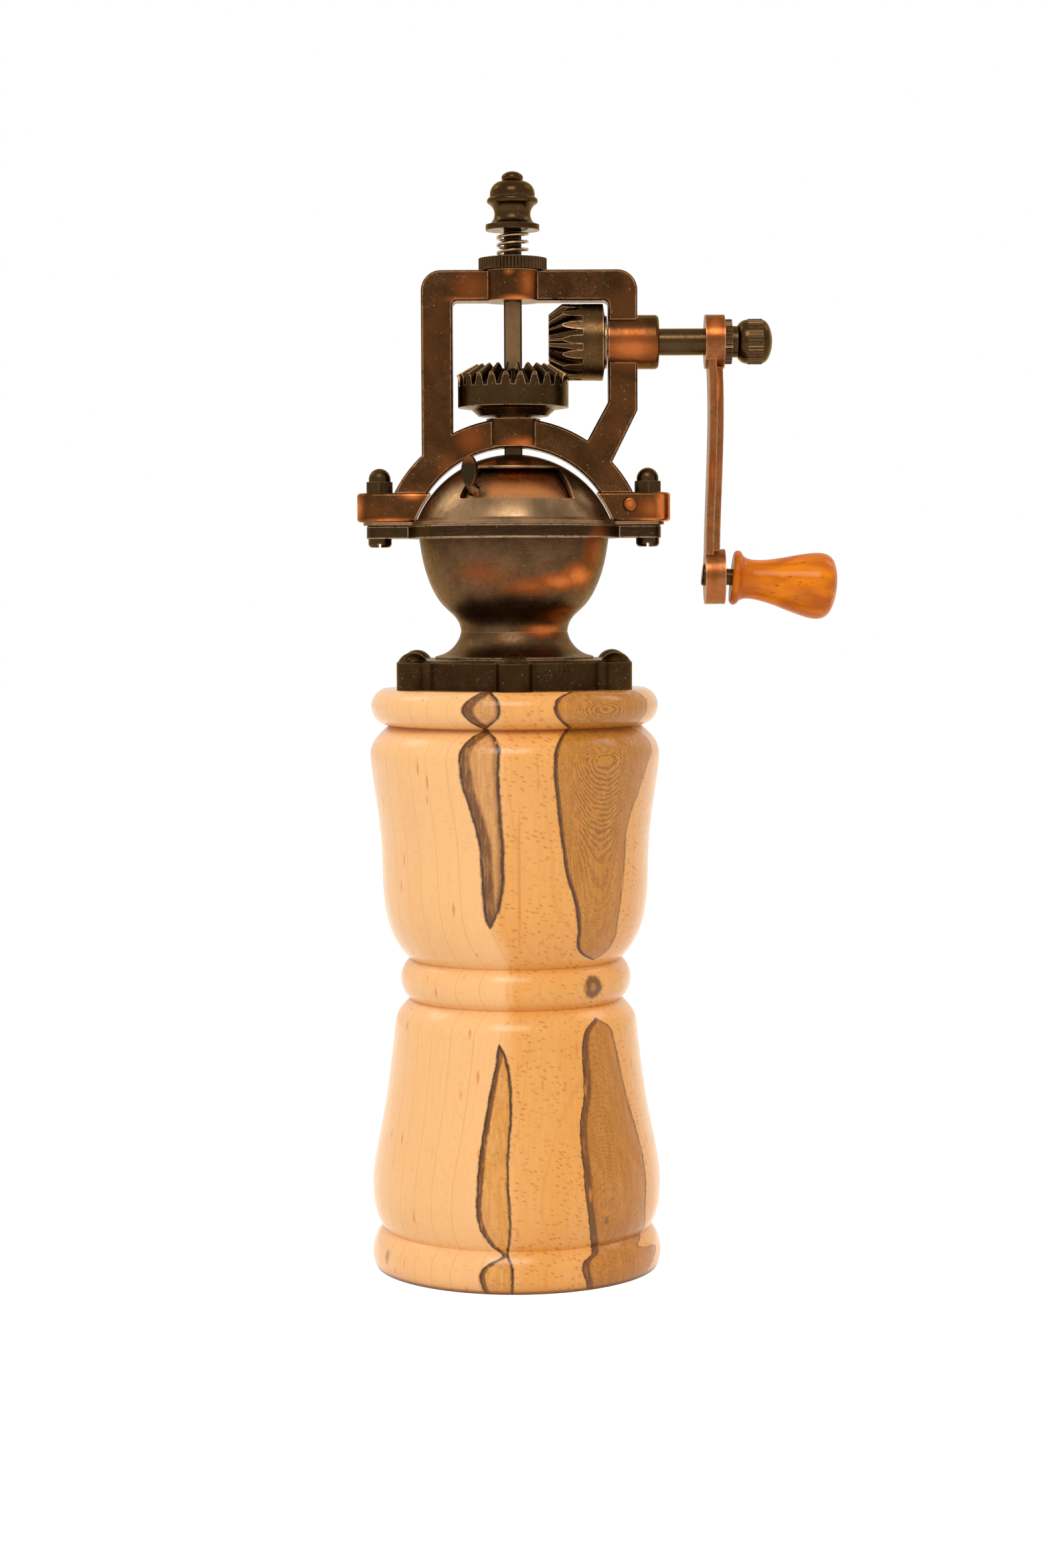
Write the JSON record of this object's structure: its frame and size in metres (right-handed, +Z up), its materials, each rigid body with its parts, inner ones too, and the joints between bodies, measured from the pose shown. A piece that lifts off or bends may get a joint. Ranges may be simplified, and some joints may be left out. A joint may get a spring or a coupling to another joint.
{
  "type": "poppy seed mill",
  "caption": "Hand-cranked seed mill: turned wooden jar, metal bowl and domed hopper with a turning filler door, open bevel gears, side crank and a spring-loaded grind adjuster.",
  "frame": {"origin": "centre of the jar's foot, on the surface that the mill stands on", "axes": "+Z up along the spindle; +X towards the crank; the front of the mill faces -Y"},
  "size_m": [0.103, 0.0626, 0.2353],
  "materials": {
    "spalted_wood": "clear glossy lacquer over spalted maple",
    "grip_wood": "amber varnish",
    "antique_copper": "antiqued copper plate, dark with rubbed edges",
    "dark_bronze": "black bronze oxide",
    "copper": "worn copper plate",
    "bronzed_steel": "bronzed steel",
    "steel": "plain machined steel",
    "spring_brass": "bright brassed wire"
  },
  "bodies": {
    "wood_base": {"wood_body": "spalted_wood", "receiver_ring": "bronzed_steel", "receiver_screws": "steel"},
    "mill_head": {"lobed_base_ring": "dark_bronze", "bowl": "antique_copper", "ring_burr": "steel", "dome_cover": "antique_copper", "frame_yoke": "antique_copper", "clamp_screws": "dark_bronze", "acorn_nuts": "dark_bronze", "lug_pin": "copper", "thrust_washer": "dark_bronze"},
    "filler_door": {"filler_door": "copper"},
    "drive_gear": {"drive_gear": "dark_bronze"},
    "adjusting_disc": {"adjusting_disc": "dark_bronze", "disc_washer": "dark_bronze", "spring_washer": "steel"},
    "spindle": {"spindle": "steel", "grinding_cone": "steel", "cone_nut": "steel", "finial": "dark_bronze", "tension_spring": "spring_brass"},
    "crank": {"crank_shaft": "copper", "pinion": "dark_bronze", "pinion_pin": "steel", "crank_arm": "antique_copper", "crank_nut": "dark_bronze", "grip_pin": "dark_bronze"},
    "grip": {"grip": "grip_wood"}
  },
  "joints": [
    {"name": "head_lift", "type": "slide", "parent": "wood_base", "child": "mill_head", "axis": [0, 0, 1], "range_m": [0, 0.035]},
    {"name": "door_turn", "type": "hinge", "parent": "mill_head", "child": "filler_door", "pos_m": [0, 0, 0.1529], "axis": [0, 0, 1], "range_deg": [0, 72]},
    {"name": "crank_turn", "type": "hinge", "parent": "mill_head", "child": "crank", "pos_m": [0, 0, 0.1991], "axis": [1, 0, 0], "continuous": true},
    {"name": "gear_turn", "type": "hinge", "parent": "mill_head", "child": "drive_gear", "pos_m": [0, 0, 0.1838], "axis": [0, 0, 1], "continuous": true},
    {"name": "disc_turn", "type": "hinge", "parent": "drive_gear", "child": "adjusting_disc", "pos_m": [0, 0, 0.2142], "axis": [0, 0, 1], "range_deg": [0, 720]},
    {"name": "spindle_lift", "type": "slide", "parent": "drive_gear", "child": "spindle", "axis": [0, 0, 1], "range_m": [-0.0014, 0], "deforming": ["tension_spring"]},
    {"name": "grip_turn", "type": "hinge", "parent": "crank", "child": "grip", "pos_m": [0.0453, 0, 0.149], "axis": [0.9945, 0, -0.1045], "continuous": true}
  ],
  "couplings": [
    {"joint": "gear_turn", "follows": "crank_turn", "ratio": 0.66667},
    {"joint": "disc_turn", "follows": "spindle_lift", "rad_per_m": -8975.9}
  ]
}
